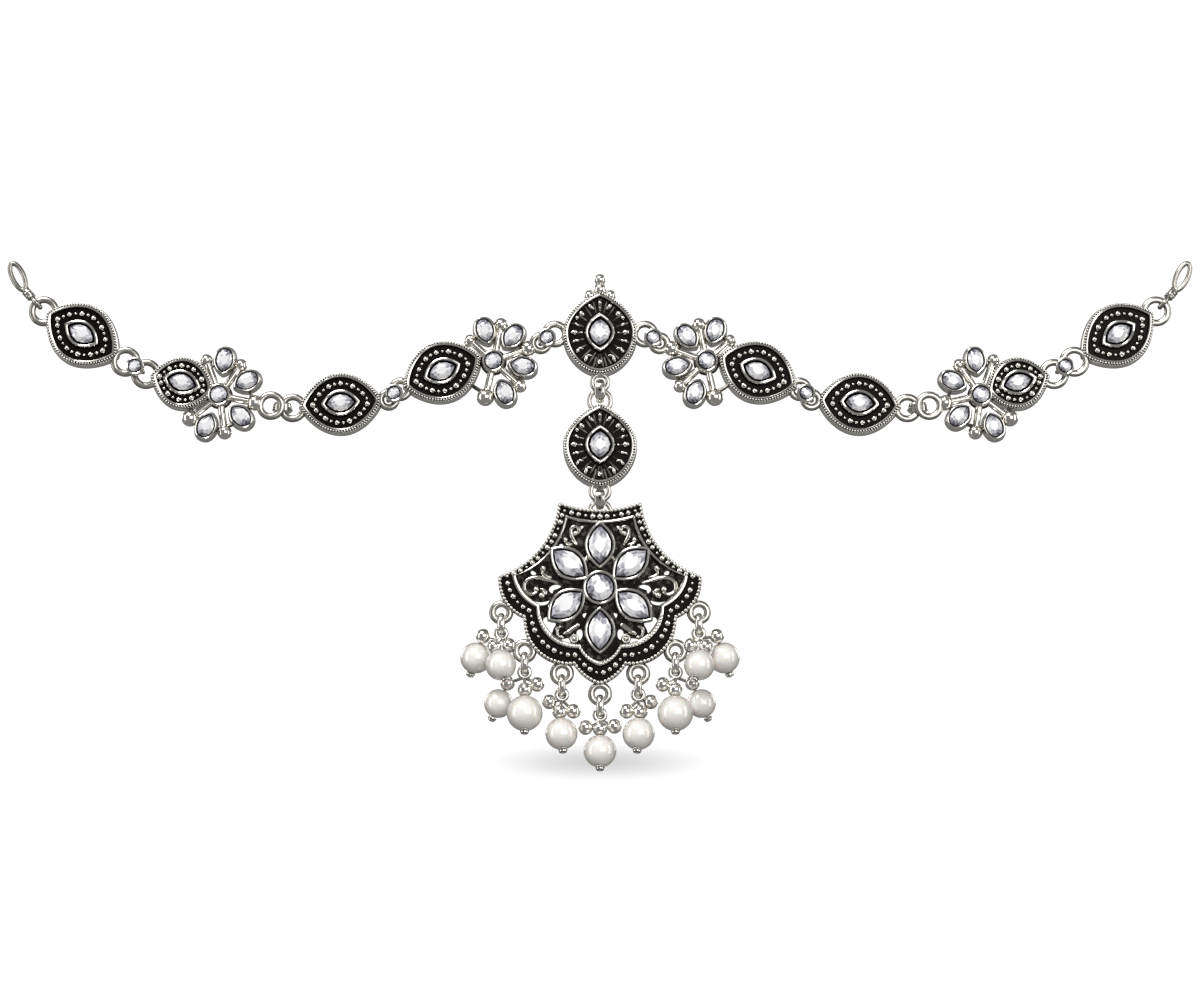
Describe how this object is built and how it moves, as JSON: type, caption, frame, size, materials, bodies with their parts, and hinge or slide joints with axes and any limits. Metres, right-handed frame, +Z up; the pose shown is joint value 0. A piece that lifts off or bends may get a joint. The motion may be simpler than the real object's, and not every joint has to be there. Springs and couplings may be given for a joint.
{
  "type": "matha patti head chain",
  "caption": "Cast silver-tone forehead chain: linked floral plates, a centre plaque, a hinged leaf and a pierced fan pendant fringed with beads and pearls.",
  "frame": {"origin": "middle of the centre plaque's flat back, where the jewel hangs on the parting of the hair", "axes": "+X along the band to the wearer's left as seen from the front, +Z up, the worn face towards -Y"},
  "size_m": [0.2966, 0.0131, 0.1276],
  "materials": {
    "antique_silver": "antiqued silver plate, darkened in the recesses",
    "bright_silver": "polished silver plate",
    "wire_silver": "drawn silver-plated wire",
    "cut_stone": "clear cut glass, foiled behind",
    "pearl": "cream imitation pearl with a satin lustre"
  },
  "bodies": {
    "band": {"centre_plaque": "antique_silver", "centre_stone": "cut_stone", "connector_a_left": "bright_silver", "connector_a_right": "bright_silver", "connector_b_left": "bright_silver", "connector_b_right": "bright_silver", "connector_c_left": "bright_silver", "connector_c_right": "bright_silver", "end_hook_left": "wire_silver", "end_hook_right": "wire_silver", "jump_ring_left": "bright_silver", "jump_ring_right": "bright_silver", "leaf_b_left": "antique_silver", "leaf_b_right": "antique_silver", "leaf_d_left": "antique_silver", "leaf_d_right": "antique_silver", "motif_a_left": "antique_silver", "motif_a_right": "antique_silver", "motif_c_left": "antique_silver", "motif_c_right": "antique_silver"},
    "drop_leaf": {"leaf_link": "bright_silver", "drop_leaf": "antique_silver", "drop_leaf_stone": "cut_stone"},
    "fan": {"bead_cluster_1": "bright_silver", "bead_cluster_2": "bright_silver", "bead_cluster_3": "bright_silver", "bead_cluster_4": "bright_silver", "bead_cluster_5": "bright_silver", "bead_cluster_6": "bright_silver", "bead_cluster_7": "bright_silver", "drop_link_1": "bright_silver", "drop_link_2": "bright_silver", "drop_link_3": "bright_silver", "drop_link_4": "bright_silver", "drop_link_5": "bright_silver", "drop_link_6": "bright_silver", "drop_link_7": "bright_silver", "fan_link": "bright_silver", "fan_plate": "antique_silver", "fan_stone_1": "cut_stone", "fan_stone_2": "cut_stone", "fan_stone_3": "cut_stone", "fan_stone_4": "cut_stone", "fan_stone_5": "cut_stone", "fan_stone_6": "cut_stone", "fan_stone_7": "cut_stone", "pearl_1a": "pearl", "pearl_1b": "pearl", "pearl_2a": "pearl", "pearl_2b": "pearl", "pearl_3a": "pearl", "pearl_4a": "pearl", "pearl_5a": "pearl", "pearl_6a": "pearl", "pearl_6b": "pearl", "pearl_7a": "pearl", "pearl_7b": "pearl"}
  },
  "joints": [
    {"name": "leaf_swing", "type": "hinge", "parent": "band", "child": "drop_leaf", "pos_m": [0, -0.002, -0.0139], "axis": [1, 0, 0], "range_deg": [-35, 35]},
    {"name": "fan_swing", "type": "hinge", "parent": "drop_leaf", "child": "fan", "pos_m": [0, -0.002, -0.0419], "axis": [1, 0, 0], "range_deg": [-35, 35]}
  ]
}
